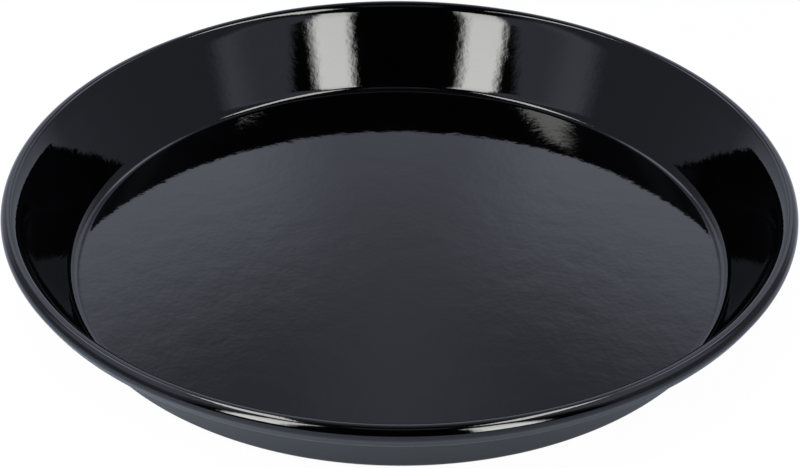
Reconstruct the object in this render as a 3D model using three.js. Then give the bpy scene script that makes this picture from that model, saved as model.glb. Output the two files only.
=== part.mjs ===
// Enamelled steel quiche pan, about 280 mm across the mouth.
// One disc of steel sheet is drawn into a shallow flared tray with a flat base, and its edge is
// curled outwards and down into a flattened roll. Vitreous enamel is fused to both of its faces.
// Millimetres, +Z up, origin at the centre of the underside.

import * as THREE from 'three';

// Driving dimensions of the finished pan
const rimRadius = 145;                              // axis to the outermost point of the roll
const panHeight = 33.5;                             // underside to the top of the roll
const wallLean = THREE.MathUtils.degToRad(28.6);    // lean of the wall, outwards from upright
const cornerRadius = 5;                             // between floor and wall, on the cooking side
const flareRadius = 14;                             // of the bend from wall to roll, on the cooking side
const flareTurn = THREE.MathUtils.degToRad(18);     // turn of the sheet in that bend
const rollThickness = 5.8;                          // across the roll's round top
const rollFlat = 3.2;                               // straight stretch of the roll, along the wall
const edgeTurn = THREE.MathUtils.degToRad(105);     // turn of the sheet's edge under the roll

// Driving dimensions of the sheet and its coats
const steelGauge = 0.8;
const enamelThickness = 0.3;
const bondLine = 0.002;                             // keeps the facets of steel and coat apart

// Fineness of the faceted surface
const roundSegments = 64;
const cornerSteps = 3;
const flareSteps = 2;
const rollInnerSteps = 2;
const rollOuterSteps = 3;
const edgeSteps = 3;

// The sheet's middle line, worked out from the driving dimensions
const coatedThickness = steelGauge + 2 * enamelThickness;
const cornerMiddle = cornerRadius + coatedThickness / 2;
const flareMiddle = flareRadius - coatedThickness / 2;
const rollMiddle = (rollThickness - coatedThickness) / 2;
const wallInside = Math.PI - wallLean;              // direction that the wall's cooking face looks in
const wallOutside = -wallLean;
const flareEnd = wallInside - flareTurn;            // the same direction where flare and roll meet
const alongWall = new THREE.Vector2(Math.sin(wallLean), Math.cos(wallLean));
const outOfWall = new THREE.Vector2(Math.cos(wallLean), -Math.sin(wallLean));

// Centres of the section's four arcs: the roll's two ends, the flare and the floor's corner
const rollTop = new THREE.Vector2(rimRadius - rollThickness / 2, panHeight - rollThickness / 2);
const rollFoot = rollTop.clone().addScaledVector(alongWall, -rollFlat);
const flare = new THREE.Vector2(Math.cos(flareEnd), Math.sin(flareEnd))
  .multiplyScalar(rollMiddle - flareMiddle)
  .add(rollTop);
const cornerHeight = coatedThickness + cornerRadius;
const cornerReach = flare.dot(outOfWall) - flareMiddle - cornerMiddle;
const corner = new THREE.Vector2(
  (cornerReach + cornerHeight * Math.sin(wallLean)) / Math.cos(wallLean),
  cornerHeight,
);

// Distances of the faces from the sheet's middle line, plus on the cooking side
const steelFace = steelGauge / 2;
const bondFace = steelFace + bondLine;
const finishedFace = coatedThickness / 2;

// The steel's cut edge stops short of the finished edge, so that enamel covers it
const capTurn = edgeTurn - enamelThickness / rollMiddle;
const steelTurn = capTurn - bondLine / rollMiddle;

function arc(centre, radius, from, to, clockwise, steps) {
  const curve = new THREE.EllipseCurve(centre.x, centre.y, radius, radius, from, to, clockwise);
  return curve.getPoints(steps);
}

// A face of the sheet in section, from the axis out to the edge under the roll.
// The roll is in three arcs, so that its highest and its widest point are corners of the facets.
function sheetFace(offset, turn) {
  return [
    new THREE.Vector2(0, coatedThickness / 2 + offset),
    ...arc(corner, cornerMiddle - offset, -Math.PI / 2, wallOutside, false, cornerSteps),
    ...arc(flare, flareMiddle + offset, wallInside, flareEnd, true, flareSteps),
    ...arc(rollTop, rollMiddle + offset, flareEnd, Math.PI / 2, true, rollInnerSteps).slice(1),
    ...arc(rollTop, rollMiddle + offset, Math.PI / 2, 0, true, rollOuterSteps).slice(1),
    ...arc(rollTop, rollMiddle + offset, 0, wallOutside, true, 1).slice(1),
    ...arc(rollFoot, rollMiddle + offset, wallOutside, wallOutside - turn, true, edgeSteps),
  ];
}

// A closed section turned round the pan's axis
function turned(name, outline, material) {
  const geometry = new THREE.LatheGeometry(outline, roundSegments);
  geometry.rotateX(Math.PI / 2);
  const mesh = new THREE.Mesh(geometry, material);
  mesh.name = name;
  return mesh;
}

function blackEnamel() {
  return new THREE.MeshStandardMaterial({ color: '#0d0e11', roughness: 0.08, metalness: 0 });
}

// The drawn and curled steel sheet, which the coats cover all over
function steelPressing() {
  const outline = [
    ...sheetFace(-steelFace, steelTurn),
    ...sheetFace(steelFace, steelTurn).reverse(),
  ];
  const steel = new THREE.MeshStandardMaterial({
    color: '#8b8e92',
    roughness: 0.4,
    metalness: 1,
  });
  return turned('steel_pressing', outline, steel);
}

// The coat of the cooking face, which runs on over the roll and round the sheet's cut edge
function insideEnamel() {
  const outline = [
    ...sheetFace(bondFace, capTurn),
    sheetFace(-finishedFace, capTurn).at(-1),
    sheetFace(-finishedFace, edgeTurn).at(-1),
    ...sheetFace(finishedFace, edgeTurn).reverse(),
  ];
  return turned('inside_enamel', outline, blackEnamel());
}

// The coat of the other face: the underside, the wall's outside and the roll's hollow
function outsideEnamel() {
  const outline = [
    ...sheetFace(-finishedFace, steelTurn),
    ...sheetFace(-bondFace, steelTurn).reverse(),
  ];
  return turned('outside_enamel', outline, blackEnamel());
}

const quichePan = new THREE.Group();
quichePan.add(steelPressing(), insideEnamel(), outsideEnamel());

export default quichePan;
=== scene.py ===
import math

import bpy
from mathutils import Matrix, Vector


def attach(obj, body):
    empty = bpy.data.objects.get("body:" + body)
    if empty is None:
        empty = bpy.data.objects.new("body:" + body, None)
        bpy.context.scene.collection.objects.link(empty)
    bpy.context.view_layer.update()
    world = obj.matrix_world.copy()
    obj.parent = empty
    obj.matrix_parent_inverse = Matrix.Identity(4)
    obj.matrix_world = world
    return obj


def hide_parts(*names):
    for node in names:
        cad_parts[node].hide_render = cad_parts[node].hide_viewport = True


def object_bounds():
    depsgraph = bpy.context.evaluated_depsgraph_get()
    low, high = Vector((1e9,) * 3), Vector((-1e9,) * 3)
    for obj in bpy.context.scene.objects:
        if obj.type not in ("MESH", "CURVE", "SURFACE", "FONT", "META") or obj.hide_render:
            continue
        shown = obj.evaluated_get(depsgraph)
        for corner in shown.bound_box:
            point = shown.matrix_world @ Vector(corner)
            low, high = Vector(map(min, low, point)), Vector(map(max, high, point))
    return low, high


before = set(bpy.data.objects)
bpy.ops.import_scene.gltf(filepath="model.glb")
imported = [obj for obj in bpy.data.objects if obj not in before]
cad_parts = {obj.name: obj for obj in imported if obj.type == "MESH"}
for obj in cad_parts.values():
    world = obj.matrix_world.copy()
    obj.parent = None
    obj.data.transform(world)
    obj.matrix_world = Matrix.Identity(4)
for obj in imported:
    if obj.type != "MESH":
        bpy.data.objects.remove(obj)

cad_low, cad_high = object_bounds()


# The pressing: one disc of mild steel sheet, drawn into a shallow flared tray with a flat floor.
# Its edge is curled outwards and down into a flattened roll that stiffens the rim.
# Pickled grey before enamelling, it carries both coats and shows nowhere on the finished pan.
MM = 0.001
RIM_RADIUS = cad_high.x
PAN_HEIGHT = cad_high.z
WALL_LEAN = math.radians(28.6)
CORNER_RADIUS = 5 * MM
FLARE_RADIUS = 14 * MM
FLARE_TURN = math.radians(18)
ROLL_THICKNESS = 5.8 * MM
ROLL_FLAT = 3.2 * MM
EDGE_TURN = math.radians(105)
STEEL_GAUGE = 0.8 * MM
ENAMEL_THICKNESS = 0.3 * MM
BOND_LINE = 0.002 * MM

COATED_THICKNESS = STEEL_GAUGE + 2 * ENAMEL_THICKNESS
CORNER_MIDDLE = CORNER_RADIUS + COATED_THICKNESS / 2
FLARE_MIDDLE = FLARE_RADIUS - COATED_THICKNESS / 2
ROLL_MIDDLE = (ROLL_THICKNESS - COATED_THICKNESS) / 2
STEEL_FACE = STEEL_GAUGE / 2
BOND_FACE = STEEL_FACE + BOND_LINE
FINISHED_FACE = COATED_THICKNESS / 2
CAP_TURN = EDGE_TURN - ENAMEL_THICKNESS / ROLL_MIDDLE
STEEL_TURN = CAP_TURN - BOND_LINE / ROLL_MIDDLE

wall_inside = math.pi - WALL_LEAN
wall_outside = -WALL_LEAN
flare_end = wall_inside - FLARE_TURN
along_wall = Vector((math.sin(WALL_LEAN), math.cos(WALL_LEAN)))
out_of_wall = Vector((math.cos(WALL_LEAN), -math.sin(WALL_LEAN)))
roll_top = Vector((RIM_RADIUS - ROLL_THICKNESS / 2, PAN_HEIGHT - ROLL_THICKNESS / 2))
roll_foot = roll_top - ROLL_FLAT * along_wall
flare = roll_top - (FLARE_MIDDLE - ROLL_MIDDLE) * Vector((math.cos(flare_end), math.sin(flare_end)))
corner_height = COATED_THICKNESS + CORNER_RADIUS
corner_reach = flare.dot(out_of_wall) - FLARE_MIDDLE - CORNER_MIDDLE
corner = Vector((
    (corner_reach + corner_height * math.sin(WALL_LEAN)) / math.cos(WALL_LEAN),
    corner_height,
))


def bend(centre, radius, start, end, step=math.radians(6)):
    """Points round a bend of the sheet, in section: distance from the axis and height."""
    count = max(2, round(abs(end - start) / step))
    angles = [start + (end - start) * i / count for i in range(count + 1)]
    return [centre + radius * Vector((math.cos(a), math.sin(a))) for a in angles]


def straight(start, end, spacing=12 * MM, shoulder=0.4 * MM):
    """Points between two bends, one close to each end so that smooth shading leaves the flat flat."""
    length = (end - start).length
    count = max(1, round(length / spacing))
    stations = [shoulder + (length - 2 * shoulder) * i / count for i in range(count + 1)]
    return [start + (end - start) * (s / length) for s in stations]


def sheet_face(offset, turn):
    """One face of the sheet in section, from the axis to the edge; offset is plus on the inside."""
    centre = Vector((0, COATED_THICKNESS / 2 + offset))
    floor_corner = bend(corner, CORNER_MIDDLE - offset, -math.pi / 2, wall_outside)
    rim_flare = bend(flare, FLARE_MIDDLE + offset, wall_inside, flare_end, step=math.radians(2))
    rim = bend(roll_top, ROLL_MIDDLE + offset, flare_end, wall_outside)
    edge = bend(roll_foot, ROLL_MIDDLE + offset, wall_outside, wall_outside - turn)
    return [
        centre,
        *straight(centre, floor_corner[0]),
        *floor_corner,
        *straight(floor_corner[-1], rim_flare[0]),
        *rim_flare,
        *rim[1:],
        *straight(rim[-1], edge[0]),
        *edge,
    ]


def add_node(tree, kind, inputs, **settings):
    """Adds a node; each input takes a value or another node's output."""
    node = tree.nodes.new(kind)
    for name, value in settings.items():
        setattr(node, name, value)
    for socket, source in inputs.items():
        if isinstance(source, bpy.types.NodeSocket):
            tree.links.new(source, node.inputs[socket])
        else:
            node.inputs[socket].default_value = source
    return node


# Geometry Nodes turn a section round the pan's axis.
# They bend a grid that has a row for each point of the section and a column for each step of the turn.
turning = bpy.data.node_groups.new("Turned round the axis", "GeometryNodeTree")
turning.interface.new_socket("Section", in_out="INPUT", socket_type="NodeSocketGeometry")
turning.interface.new_socket("Round Segments", in_out="INPUT", socket_type="NodeSocketInt")
turning.interface.new_socket("Seam Weld", in_out="INPUT", socket_type="NodeSocketFloat")
turning.interface.new_socket("Finish", in_out="INPUT", socket_type="NodeSocketMaterial")
turning.interface.new_socket("Turned", in_out="OUTPUT", socket_type="NodeSocketGeometry")

given = turning.nodes.new("NodeGroupInput").outputs
points = add_node(turning, "GeometryNodeAttributeDomainSize", {"Geometry": given["Section"]})
columns = add_node(turning, "ShaderNodeMath", {0: given["Round Segments"], 1: 1.0}, operation="ADD")
grid = add_node(turning, "GeometryNodeMeshGrid", {
    "Vertices X": points.outputs["Point Count"],
    "Vertices Y": columns.outputs[0],
})
index = turning.nodes.new("GeometryNodeInputIndex").outputs[0]
share = add_node(turning, "ShaderNodeMath", {0: index, 1: columns.outputs[0]}, operation="DIVIDE")
row = add_node(turning, "ShaderNodeMath", {0: share.outputs[0]}, operation="FLOOR")
column = add_node(turning, "ShaderNodeMath", {0: index, 1: columns.outputs[0]}, operation="MODULO")
part_turn = add_node(
    turning, "ShaderNodeMath", {0: column.outputs[0], 1: given["Round Segments"]}, operation="DIVIDE"
)
angle = add_node(turning, "ShaderNodeMath", {0: part_turn.outputs[0], 1: math.tau}, operation="MULTIPLY")
place = turning.nodes.new("GeometryNodeInputPosition").outputs[0]
section_point = add_node(turning, "GeometryNodeSampleIndex", {
    "Geometry": given["Section"],
    "Value": place,
    "Index": row.outputs[0],
}, data_type="FLOAT_VECTOR")
turned_point = add_node(turning, "ShaderNodeVectorRotate", {
    "Vector": section_point.outputs[0],
    "Angle": angle.outputs[0],
}, rotation_type="Z_AXIS")
shaped = add_node(turning, "GeometryNodeSetPosition", {
    "Geometry": grid.outputs["Mesh"],
    "Position": turned_point.outputs[0],
})
welded = add_node(turning, "GeometryNodeMergeByDistance", {
    "Geometry": shaped.outputs[0],
    "Distance": given["Seam Weld"],
})
outward = add_node(turning, "GeometryNodeFlipFaces", {"Mesh": welded.outputs[0]})
smooth = add_node(turning, "GeometryNodeSetShadeSmooth", {"Geometry": outward.outputs[0]})
realized = add_node(turning, "GeometryNodeRealizeInstances", {"Geometry": smooth.outputs[0]})
finished = add_node(turning, "GeometryNodeSetMaterial", {
    "Geometry": realized.outputs[0],
    "Material": given["Finish"],
})
add_node(turning, "NodeGroupOutput", {"Turned": finished.outputs[0]})


def turned(name, section, material, round_segments=288, seam_weld=0.0005 * MM):
    """A piece turned from its closed section, as a plain mesh."""
    outline = bpy.data.meshes.new(name + "_section")
    outline.from_pydata([(p.x, 0, p.y) for p in section], [], [])
    piece = bpy.data.objects.new(name, outline)
    bpy.context.scene.collection.objects.link(piece)
    modifier = piece.modifiers.new("Turned", "NODES")
    modifier.node_group = turning
    sizes = {"Round Segments": round_segments, "Seam Weld": seam_weld, "Finish": material}
    for item in turning.interface.items_tree:
        if item.name in sizes:
            modifier[item.identifier] = sizes[item.name]
    depsgraph = bpy.context.evaluated_depsgraph_get()
    mesh = bpy.data.meshes.new_from_object(piece.evaluated_get(depsgraph))
    piece.modifiers.remove(modifier)
    piece.data = mesh
    mesh.name = name
    return piece


def srgb(code):
    """A hex colour as linear values with alpha."""
    channels = [int(code[i:i + 2], 16) / 255 for i in (1, 3, 5)]
    return (*[c / 12.92 if c <= 0.04045 else ((c + 0.055) / 1.055) ** 2.4 for c in channels], 1.0)


# Pickled mild steel: cold rolled, then dulled by the acid to a matt grey with faint clouds.
CLOUD_WIDTH = 9 * MM
CLOUD_TONES = {0.35: "#7f8286", 0.65: "#95989c"}
STEEL_ROUGHNESS = (0.36, 0.46)

pickled_steel = bpy.data.materials.new("pickled mild steel")
pickled_steel.use_nodes = True
tree = pickled_steel.node_tree
shader = tree.nodes["Principled BSDF"]
where = add_node(tree, "ShaderNodeTexCoord", {}).outputs["Object"]
cloud = add_node(tree, "ShaderNodeTexNoise", {"Vector": where, "Scale": 1 / CLOUD_WIDTH, "Detail": 4.0})
tone = add_node(tree, "ShaderNodeValToRGB", {"Fac": cloud.outputs["Fac"]})
for stop, (position, code) in zip(tone.color_ramp.elements, CLOUD_TONES.items()):
    stop.position = position
    stop.color = srgb(code)
tree.links.new(tone.outputs["Color"], shader.inputs["Base Color"])
matt = add_node(tree, "ShaderNodeMapRange", {
    "Value": cloud.outputs["Fac"],
    "To Min": STEEL_ROUGHNESS[0],
    "To Max": STEEL_ROUGHNESS[1],
})
tree.links.new(matt.outputs[0], shader.inputs["Roughness"])
shader.inputs["Metallic"].default_value = 1.0

steel_section = sheet_face(-STEEL_FACE, STEEL_TURN) + sheet_face(STEEL_FACE, STEEL_TURN)[::-1]
steel_pressing = turned("pressed_steel_sheet", steel_section, pickled_steel)
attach(steel_pressing, "root")
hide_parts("steel_pressing")


# The coats: black vitreous enamel, glass frit sprayed on both faces and fused at about 820 degrees.
# It flows into a deep gloss with a slight orange peel, and runs over the roll and round the cut edge.
ENAMEL_IOR = 1.5
ENAMEL_TONES = {0.3: "#010101", 0.7: "#020203"}
ENAMEL_ROUGHNESS = (0.02, 0.05)
PEEL_WIDTH = 2 * MM
PEEL_HEIGHT = 0.016 * MM
SAG_WIDTH = 14 * MM
SAG_HEIGHT = 0.06 * MM

black_enamel = bpy.data.materials.new("black vitreous enamel")
black_enamel.use_nodes = True
tree = black_enamel.node_tree
shader = tree.nodes["Principled BSDF"]
where = add_node(tree, "ShaderNodeTexCoord", {}).outputs["Object"]
melt = add_node(tree, "ShaderNodeTexNoise", {"Vector": where, "Scale": 1 / SAG_WIDTH, "Detail": 2.0})
peel = add_node(tree, "ShaderNodeTexNoise", {"Vector": where, "Scale": 1 / PEEL_WIDTH, "Detail": 3.0})
tone = add_node(tree, "ShaderNodeValToRGB", {"Fac": melt.outputs["Fac"]})
for stop, (position, code) in zip(tone.color_ramp.elements, ENAMEL_TONES.items()):
    stop.position = position
    stop.color = srgb(code)
tree.links.new(tone.outputs["Color"], shader.inputs["Base Color"])
gloss = add_node(tree, "ShaderNodeMapRange", {
    "Value": melt.outputs["Fac"],
    "To Min": ENAMEL_ROUGHNESS[0],
    "To Max": ENAMEL_ROUGHNESS[1],
})
tree.links.new(gloss.outputs[0], shader.inputs["Roughness"])
sagged = add_node(tree, "ShaderNodeBump", {"Height": melt.outputs["Fac"], "Distance": SAG_HEIGHT})
rippled = add_node(tree, "ShaderNodeBump", {
    "Height": peel.outputs["Fac"],
    "Distance": PEEL_HEIGHT,
    "Normal": sagged.outputs["Normal"],
})
tree.links.new(rippled.outputs["Normal"], shader.inputs["Normal"])
shader.inputs["IOR"].default_value = ENAMEL_IOR

inside_section = [
    *sheet_face(BOND_FACE, CAP_TURN),
    sheet_face(-FINISHED_FACE, CAP_TURN)[-1],
    sheet_face(-FINISHED_FACE, EDGE_TURN)[-1],
    *sheet_face(FINISHED_FACE, EDGE_TURN)[::-1],
]
inside_enamel = turned("enamel_of_the_cooking_face", inside_section, black_enamel)
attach(inside_enamel, "root")
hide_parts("inside_enamel")

outside_section = sheet_face(-FINISHED_FACE, STEEL_TURN) + sheet_face(-BOND_FACE, STEEL_TURN)[::-1]
outside_enamel = turned("enamel_of_the_underside", outside_section, black_enamel)
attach(outside_enamel, "root")
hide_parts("outside_enamel")


# The floor: a broad sheet of matt paper that the pan stands on.
# The camera sees it lifted to white, with the pan's shadow left faintly in it.
# In the enamel it shows a painted glow beside and behind the pan, standing in for lamplight on a table, and
# in front it stays grey, a painted shade that bounce light sees too.
WHITE = "#ffffff"
COOL_WHITE = "#e5eaff"
PAPER_WHITE = "#f6f7f8"
# Grey that the enamel and bounce light see in the paper: painted shade for a dimmer table in front.
PAINTED_SHADE_GREY = "#aab2c0"
PAPER_HALF = 3.0
PAPER_LIFT = 0.97
# The painted glow in the paper stands in for lamplight on the table; this span is where it sets in.
PAINTED_GLOW_SPAN = (-0.1, 0.05)     # from in front to behind, where the mirrored glow sets in

matt_paper = bpy.data.materials.new("matt paper")
matt_paper.use_nodes = True
tree = matt_paper.node_tree
tree.nodes.remove(tree.nodes["Principled BSDF"])
where = add_node(tree, "ShaderNodeTexCoord", {}).outputs["Object"]
depth = add_node(tree, "ShaderNodeSeparateXYZ", {"Vector": where}).outputs["Y"]
rays = add_node(tree, "ShaderNodeLightPath", {}).outputs
# Behind and beside the pan the enamel sees a painted glow in the paper, standing in for lamplight on the
# table.
painted_glow_behind = add_node(tree, "ShaderNodeMapRange", {
    "Value": depth,
    "From Min": PAINTED_GLOW_SPAN[0],
    "From Max": PAINTED_GLOW_SPAN[1],
}, interpolation_type="SMOOTHSTEP")
mirrored = add_node(
    tree, "ShaderNodeMath", {0: rays["Is Glossy Ray"], 1: painted_glow_behind.outputs[0]}, operation="MULTIPLY"
)
direct = add_node(
    tree, "ShaderNodeMath", {0: rays["Is Camera Ray"], 1: rays["Is Transmission Ray"]}, operation="MAXIMUM"
)
seen = add_node(tree, "ShaderNodeMath", {0: mirrored.outputs[0], 1: direct.outputs[0]}, operation="MAXIMUM")
lift = add_node(tree, "ShaderNodeMath", {0: seen.outputs[0], 1: PAPER_LIFT}, operation="MULTIPLY")
# Cool white for the painted glow in the enamel; plain white lifts the paper for the camera.
lift_and_painted_glow_colour = add_node(tree, "ShaderNodeMix", {
    "Factor": direct.outputs[0],
    6: srgb(COOL_WHITE),
    7: srgb(WHITE),
}, data_type="RGBA")
# The camera sees white paper; reflections and bounce light see the grey, which is painted shade.
paper_and_painted_shade_colour = add_node(tree, "ShaderNodeMix", {
    "Factor": direct.outputs[0],
    6: srgb(PAINTED_SHADE_GREY),
    7: srgb(PAPER_WHITE),
}, data_type="RGBA")
paper_matt = add_node(tree, "ShaderNodeBsdfDiffuse", {"Color": paper_and_painted_shade_colour.outputs[2]})
# One emission gives the camera its white paper and the enamel its painted glow.
white_lift_and_painted_glow = add_node(tree, "ShaderNodeEmission", {"Color": lift_and_painted_glow_colour.outputs[2]})
paper = add_node(tree, "ShaderNodeMixShader", {
    0: lift.outputs[0],
    1: paper_matt.outputs[0],
    2: white_lift_and_painted_glow.outputs[0],
})
tree.links.new(paper.outputs[0], tree.nodes["Material Output"].inputs["Surface"])

floor_mesh = bpy.data.meshes.new("paper_floor")
floor_mesh.from_pydata(
    [(x * PAPER_HALF, y * PAPER_HALF, cad_low.z) for x, y in ((-1, -1), (1, -1), (1, 1), (-1, 1))],
    [],
    [(0, 1, 2, 3)],
)
floor_mesh.materials.append(matt_paper)
floor = bpy.data.objects.new("paper_floor", floor_mesh)
bpy.context.scene.collection.objects.link(floor)


# The lamps: a soft box on each side of the lens, a strip over each side of the pan, and three dim fills.
# Each is a cloth-fronted rectangle between its foot and its head, which fades towards its edges.
LAMP_WHITE = "#fffffc"


def soft_box(name, foot, head, width, turn, brightness, colour, fade, droop=0.0):
    """A lamp; fade is how far in from its edges it is full, droop the share lost from foot to head."""
    foot = Vector(foot)
    head = Vector(head)
    length = (head - foot).length
    along = (head - foot) / length
    middle = (foot + head) / 2
    to_pan = (-middle + middle.dot(along) * along).normalized()
    facing = math.cos(turn) * to_pan + math.sin(turn) * along.cross(to_pan)
    lamp = bpy.data.lights.new(name, "AREA")
    lamp.shape = "RECTANGLE"
    lamp.size = width
    lamp.size_y = length
    lamp.energy = brightness * math.pi * width * length
    lamp.color = srgb(colour)[:3]
    lamp.use_nodes = True
    tree = lamp.node_tree
    cloth = add_node(tree, "ShaderNodeNewGeometry", {}).outputs["Parametric"]
    place = add_node(tree, "ShaderNodeSeparateXYZ", {"Vector": cloth}).outputs
    level = add_node(tree, "ShaderNodeMapRange", {
        "Value": place["Y"],
        "To Min": 1 + droop / 2,
        "To Max": 1 - droop / 2,
    })
    for axis, side in (("X", width), ("Y", length)):
        # Measured in from the nearer edge, as a share of the side.
        margin = add_node(tree, "ShaderNodeMath", {0: place[axis], 1: 0.5}, operation="PINGPONG")
        edge = add_node(tree, "ShaderNodeMapRange", {
            "Value": margin.outputs[0],
            "From Max": fade / side,
        }, interpolation_type="SMOOTHSTEP")
        level = add_node(
            tree, "ShaderNodeMath", {0: level.outputs[0], 1: edge.outputs[0]}, operation="MULTIPLY"
        )
    tree.links.new(level.outputs[0], tree.nodes["Emission"].inputs["Strength"])
    box = bpy.data.objects.new(name, lamp)
    axes = Matrix((along.cross(-facing), along, -facing)).transposed()
    box.matrix_world = Matrix.Translation(middle) @ axes.to_4x4()
    bpy.context.scene.collection.objects.link(box)


soft_box(
    "left soft box", foot=(-0.213, -0.355, 0.095), head=(-0.194, -0.27, 0.62), width=0.143,
    turn=math.radians(19.4), brightness=12.0, colour=LAMP_WHITE, fade=0.04, droop=0.5,
)
soft_box(
    "right soft box", foot=(0.246, -0.548, 0.07), head=(0.273, -0.558, 0.89), width=0.237,
    turn=math.radians(29), brightness=12.0, colour=LAMP_WHITE, fade=0.065, droop=0.5,
)
soft_box(
    "left strip", foot=(-0.135, 0.048, 0.618), head=(-0.424, 0.244, 1.107), width=0.436,
    turn=math.radians(37.8), brightness=10.0, colour=LAMP_WHITE, fade=0.04,
)
soft_box(
    "right strip", foot=(0.198, -0.218, 0.7), head=(0.283, 0.285, 0.82), width=0.16,
    turn=math.radians(-35.5), brightness=10.0, colour=LAMP_WHITE, fade=0.02,
)
soft_box(
    "left fill", foot=(-0.165, 0.016, 0.17), head=(-0.165, -0.19, 0.259), width=0.27,
    turn=0.0, brightness=0.74, colour=COOL_WHITE, fade=0.045,
)
soft_box(
    "right fill", foot=(0.165, -0.004, 0.179), head=(0.165, -0.215, 0.273), width=0.27,
    turn=0.0, brightness=0.72, colour=COOL_WHITE, fade=0.045,
)
soft_box(
    "overhead fill", foot=(0, -0.38, 1.0), head=(0, -0.05, 1.0), width=0.3,
    turn=0.0, brightness=0.28, colour=COOL_WHITE, fade=0.05,
)


# The tent: slightly blue cloth, dim at the sides and bright at the back, open overhead and at the camera.
# Its edges are given as directions, whose X, Y and Z run from -1 to 1, and each fades between two of them.
# Light that the pan mirrors twice is held back, as the photograph's blacks are deep; the camera sees white.
SIDE_GLOW = 0.37
ROOF_GLOW = 0.04
SIDE_TOP = (0.86, 0.93)
SIDE_FRONT = (-0.45, -0.05)
FRONT_SLOPE = 1.88            # the side cloth's front end stands upright
BACK_START = (0.5, 0.75)
LOW_GLOW = 0.9                # below the back cloth's foot
BACK_FOOT = (0.38, 0.5)
BACK_GLOW = 0.9
BACK_TOP = (0.594, 0.492)
BACK_RISE = -0.35             # the back cloth's top edge rises to both sides
BACK_OUTER = (0.46, 0.36)
WEDGE_SLOPE = 0.386           # a dimmer wedge stands in the middle of the back cloth
WEDGE_EDGE = (0.22, 0.291)
WEDGE_LEAST = 0.3
HAZE_GLOW = 0.44              # a haze lies over the back, brighter in the middle and dimmer at the top
LEAST_HAZE = 0.1
MIDDLE_GLOW = 0.6
MIDDLE_EDGE = 0.08
MIDDLE_TOP = (0.85, 0.65)
PATCH_GLOW = 2.4              # a pale patch stands high on each side of the back cloth
PATCH_AT = (0.314, 0.591, 0.743)
PATCH_EDGE = (0.17, 0.06)
TWICE_MIRRORED = 0.22

tent = bpy.data.worlds.new("tent")
bpy.context.scene.world = tent
tent.use_nodes = True
tree = tent.node_tree
direction = add_node(tree, "ShaderNodeTexCoord", {}).outputs["Generated"]
axes = add_node(tree, "ShaderNodeSeparateXYZ", {"Vector": direction}).outputs
aside = add_node(tree, "ShaderNodeMath", {0: axes["X"]}, operation="ABSOLUTE").outputs[0]

side_cloth = add_node(tree, "ShaderNodeMapRange", {
    "Value": axes["Z"],
    "From Min": SIDE_TOP[0],
    "From Max": SIDE_TOP[1],
    "To Min": SIDE_GLOW,
    "To Max": ROOF_GLOW,
}, interpolation_type="SMOOTHSTEP")
front_place = add_node(
    tree, "ShaderNodeMath", {0: axes["Y"], 1: FRONT_SLOPE, 2: aside}, operation="MULTIPLY_ADD"
)
open_front = add_node(tree, "ShaderNodeMapRange", {
    "Value": front_place.outputs[0],
    "From Min": SIDE_FRONT[0],
    "From Max": SIDE_FRONT[1],
}, interpolation_type="SMOOTHSTEP")
sides = add_node(
    tree, "ShaderNodeMath", {0: side_cloth.outputs[0], 1: open_front.outputs[0]}, operation="MULTIPLY"
)

raised = add_node(tree, "ShaderNodeMath", {0: aside, 1: BACK_RISE, 2: axes["Z"]}, operation="MULTIPLY_ADD")
back_top = add_node(tree, "ShaderNodeMapRange", {
    "Value": raised.outputs[0],
    "From Min": BACK_TOP[0],
    "From Max": BACK_TOP[1],
    "To Max": BACK_GLOW,
}, interpolation_type="SMOOTHSTEP")
wedge = add_node(tree, "ShaderNodeMath", {0: axes["Z"], 1: WEDGE_SLOPE, 2: aside}, operation="MULTIPLY_ADD")
off_wedge = add_node(tree, "ShaderNodeMapRange", {
    "Value": wedge.outputs[0],
    "From Min": WEDGE_EDGE[0],
    "From Max": WEDGE_EDGE[1],
    "To Min": WEDGE_LEAST,
}, interpolation_type="SMOOTHSTEP")
back_outer = add_node(tree, "ShaderNodeMapRange", {
    "Value": aside,
    "From Min": BACK_OUTER[0],
    "From Max": BACK_OUTER[1],
}, interpolation_type="SMOOTHSTEP")
back_edge = add_node(
    tree, "ShaderNodeMath", {0: back_top.outputs[0], 1: back_outer.outputs[0]}, operation="MULTIPLY"
)
middle = add_node(tree, "ShaderNodeMapRange", {
    "Value": aside,
    "From Max": MIDDLE_EDGE,
    "To Min": MIDDLE_GLOW,
    "To Max": HAZE_GLOW,
}, interpolation_type="SMOOTHSTEP")
middle_top = add_node(tree, "ShaderNodeMapRange", {
    "Value": axes["Z"],
    "From Min": MIDDLE_TOP[0],
    "From Max": MIDDLE_TOP[1],
    "To Min": LEAST_HAZE,
}, interpolation_type="SMOOTHSTEP")
haze = add_node(
    tree, "ShaderNodeMath", {0: middle.outputs[0], 1: middle_top.outputs[0]}, operation="MULTIPLY"
)
back_cloth = add_node(tree, "ShaderNodeMath", {
    0: back_edge.outputs[0],
    1: off_wedge.outputs[0],
    2: haze.outputs[0],
}, operation="MULTIPLY_ADD")
back_foot = add_node(tree, "ShaderNodeMapRange", {
    "Value": axes["Z"],
    "From Min": BACK_FOOT[0],
    "From Max": BACK_FOOT[1],
}, interpolation_type="SMOOTHSTEP")
back = add_node(tree, "ShaderNodeMix", {
    "Factor": back_foot.outputs[0],
    2: LOW_GLOW,
    3: back_cloth.outputs[0],
}, data_type="FLOAT")
to_back = add_node(tree, "ShaderNodeMapRange", {
    "Value": axes["Y"],
    "From Min": BACK_START[0],
    "From Max": BACK_START[1],
}, interpolation_type="SMOOTHSTEP")
cloth = add_node(tree, "ShaderNodeMix", {
    "Factor": to_back.outputs[0],
    2: sides.outputs[0],
    3: back.outputs[0],
}, data_type="FLOAT")

rays = add_node(tree, "ShaderNodeLightPath", {}).outputs
held_back = add_node(tree, "ShaderNodeMapRange", {
    "Value": rays["Glossy Depth"],
    "From Min": 1.0,
    "From Max": 2.0,
    "To Min": 1.0,
    "To Max": TWICE_MIRRORED,
})
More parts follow.
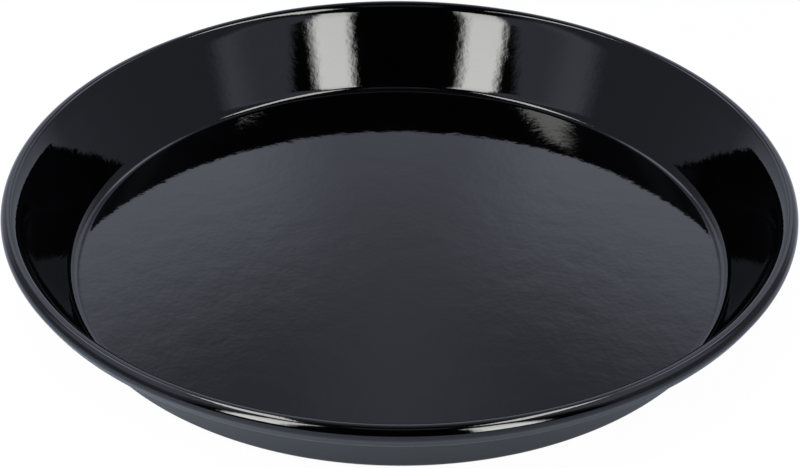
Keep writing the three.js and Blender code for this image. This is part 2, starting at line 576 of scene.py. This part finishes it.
# The pale patches are held back twice over: they mark the corner and leave the floor's dark band dark.
folded = add_node(tree, "ShaderNodeCombineXYZ", {"X": aside, "Y": axes["Y"], "Z": axes["Z"]})
from_patch = add_node(
    tree, "ShaderNodeVectorMath", {0: folded.outputs[0], 1: PATCH_AT}, operation="DISTANCE"
)
patch = add_node(tree, "ShaderNodeMapRange", {
    "Value": from_patch.outputs["Value"],
    "From Min": PATCH_EDGE[0],
    "From Max": PATCH_EDGE[1],
    "To Max": PATCH_GLOW,
}, interpolation_type="SMOOTHSTEP")
glow = add_node(tree, "ShaderNodeMath", {
    0: patch.outputs[0],
    1: held_back.outputs[0],
    2: cloth.outputs[0],
}, operation="MULTIPLY_ADD")
mirrored = add_node(
    tree, "ShaderNodeMath", {0: glow.outputs[0], 1: held_back.outputs[0]}, operation="MULTIPLY"
)
direct = add_node(
    tree, "ShaderNodeMath", {0: rays["Is Camera Ray"], 1: rays["Is Transmission Ray"]}, operation="MAXIMUM"
)
strength = add_node(tree, "ShaderNodeMix", {
    "Factor": direct.outputs[0],
    2: mirrored.outputs[0],
    3: 1.0,
}, data_type="FLOAT")
colour = add_node(tree, "ShaderNodeMix", {
    "Factor": direct.outputs[0],
    6: srgb(COOL_WHITE),
    7: srgb(WHITE),
}, data_type="RGBA")
tree.links.new(strength.outputs[0], tree.nodes["Background"].inputs["Strength"])
tree.links.new(colour.outputs[2], tree.nodes["Background"].inputs["Color"])


# The camera: a short telephoto in front of the pan, looking down into it.
# Its place, angles and lens are fitted to the outlines of rim, floor and foot in the photograph.
CAMERA_DISTANCE = 0.7449
CAMERA_ELEVATION = math.radians(34.470)
CAMERA_PITCH = math.radians(33.873)
CAMERA_YAW = math.radians(0.0185)
CAMERA_ROLL = math.radians(0.2678)
SENSOR_WIDTH = 36.0
FOCAL_LENGTH = 88.907

camera_data = bpy.data.cameras.new("camera")
camera_data.sensor_fit = "HORIZONTAL"
camera_data.sensor_width = SENSOR_WIDTH
camera_data.lens = FOCAL_LENGTH
camera = bpy.data.objects.new("camera", camera_data)
forward = Vector((
    math.sin(CAMERA_YAW) * math.cos(CAMERA_PITCH),
    math.cos(CAMERA_YAW) * math.cos(CAMERA_PITCH),
    -math.sin(CAMERA_PITCH),
))
right = forward.cross(Vector((0, 0, 1))).normalized()
up = right.cross(forward)
upright = Matrix((right, up, -forward)).transposed()
rolled = upright @ Matrix.Rotation(CAMERA_ROLL, 3, "Z")
stand = CAMERA_DISTANCE * Vector((0, -math.cos(CAMERA_ELEVATION), math.sin(CAMERA_ELEVATION)))
camera.matrix_world = Matrix.Translation(stand) @ rolled.to_4x4()
bpy.context.scene.collection.objects.link(camera)
bpy.context.scene.camera = camera
bpy.context.scene.view_settings.view_transform = "Standard"
